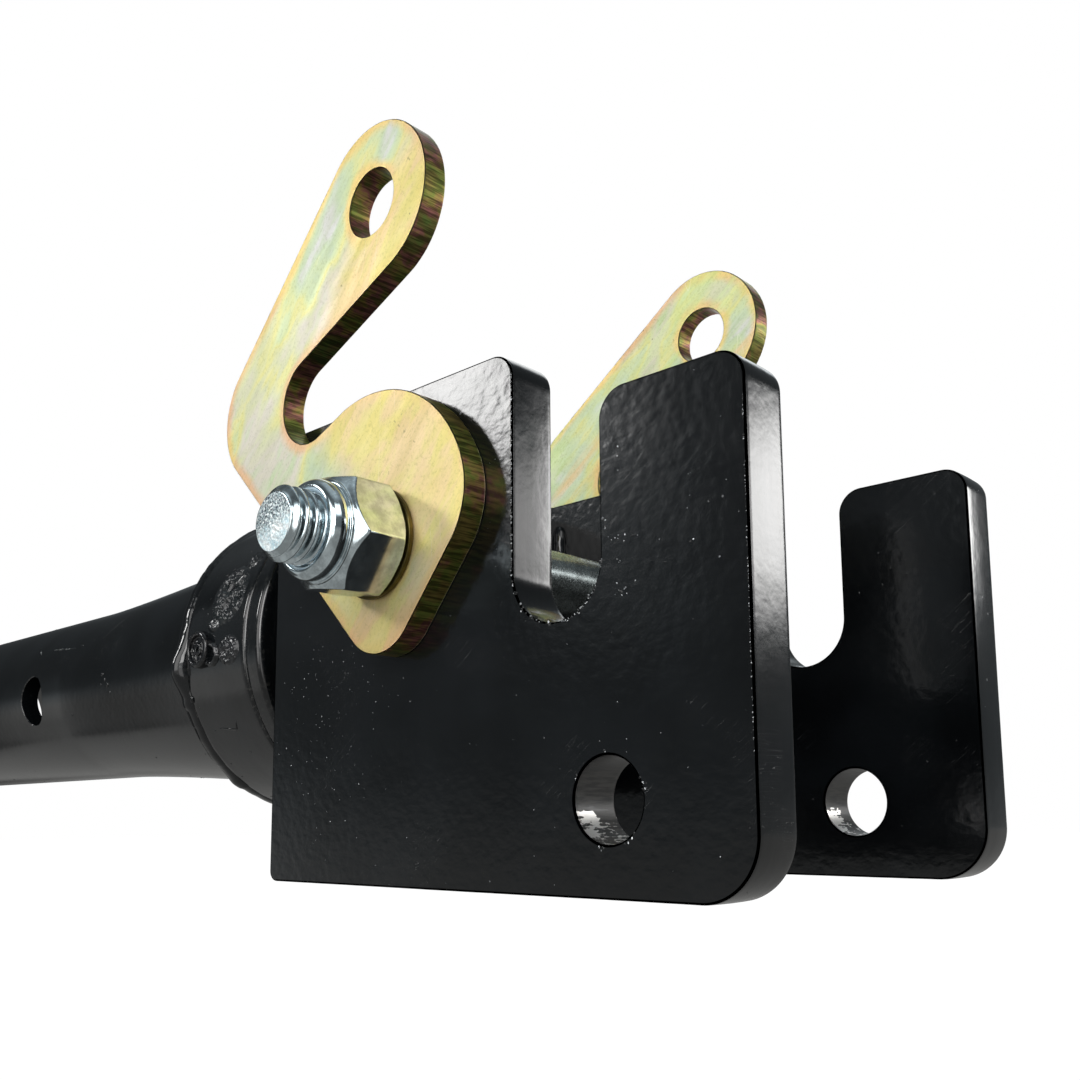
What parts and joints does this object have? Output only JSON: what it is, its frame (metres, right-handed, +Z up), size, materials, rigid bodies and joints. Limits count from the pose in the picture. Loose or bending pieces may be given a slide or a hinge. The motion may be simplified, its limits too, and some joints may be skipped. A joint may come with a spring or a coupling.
{
  "type": "weight distribution hitch",
  "caption": "Latching fork hitch head that swivels on a greased spindle in the housing of a round shank; hook latches close over a cross pin lying in open slots.",
  "frame": {"origin": "centre of the round bottoms of the two pin slots, on the swivel axis, midway between the fork plates", "axes": "+X along the swivel axis out of the fork, away from the shank; +Z up, out of the open pin slots; +Y to the left-hand fork plate, so the nut and the grease nipple are on the -Y side"},
  "size_m": [0.465, 0.1566, 0.1769],
  "materials": {
    "black_steel": "gloss",
    "yellow_zinc": "yellow passivated zinc, satin",
    "bright_zinc": "bright zinc",
    "bronze": "oiled",
    "nylon": "matte"
  },
  "bodies": {
    "shank": {"shank_tube": "black_steel", "tube_weld": "black_steel", "housing_rear_plate": "black_steel", "housing_rim_weld": "black_steel", "swivel_housing": "black_steel", "front_bush": "bronze", "rear_bush": "bronze", "grease_nipple": "black_steel", "thrust_washer": "bronze"},
    "fork": {"swivel_spindle": "bright_zinc", "swivel_hub": "black_steel", "swivel_flange": "black_steel", "rear_washer": "bright_zinc", "castle_nut": "bright_zinc", "split_pin": "bright_zinc", "fork_back_plate": "black_steel", "right_fork_plate": "black_steel", "left_fork_plate": "black_steel", "fork_welds": "black_steel", "pivot_bolt": "bright_zinc", "lock_nut": "bright_zinc", "lock_nut_insert": "nylon", "right_latch_bush": "bronze", "left_latch_bush": "bronze"},
    "right_latch": {"right_latch": "yellow_zinc"},
    "left_latch": {"left_latch": "yellow_zinc"}
  },
  "joints": [
    {"name": "fork_swivel", "type": "hinge", "parent": "shank", "child": "fork", "pos_m": [-0.137, 0, 0], "axis": [1, 0, 0], "continuous": true},
    {"name": "right_latch_pivot", "type": "hinge", "parent": "fork", "child": "right_latch", "pos_m": [-0.0475, 0, 0.011], "axis": [0, 1, 0], "range_deg": [-75, 136.4]},
    {"name": "left_latch_pivot", "type": "hinge", "parent": "fork", "child": "left_latch", "pos_m": [-0.0475, 0, 0.011], "axis": [0, 1, 0], "range_deg": [-85, 126.3]}
  ]
}
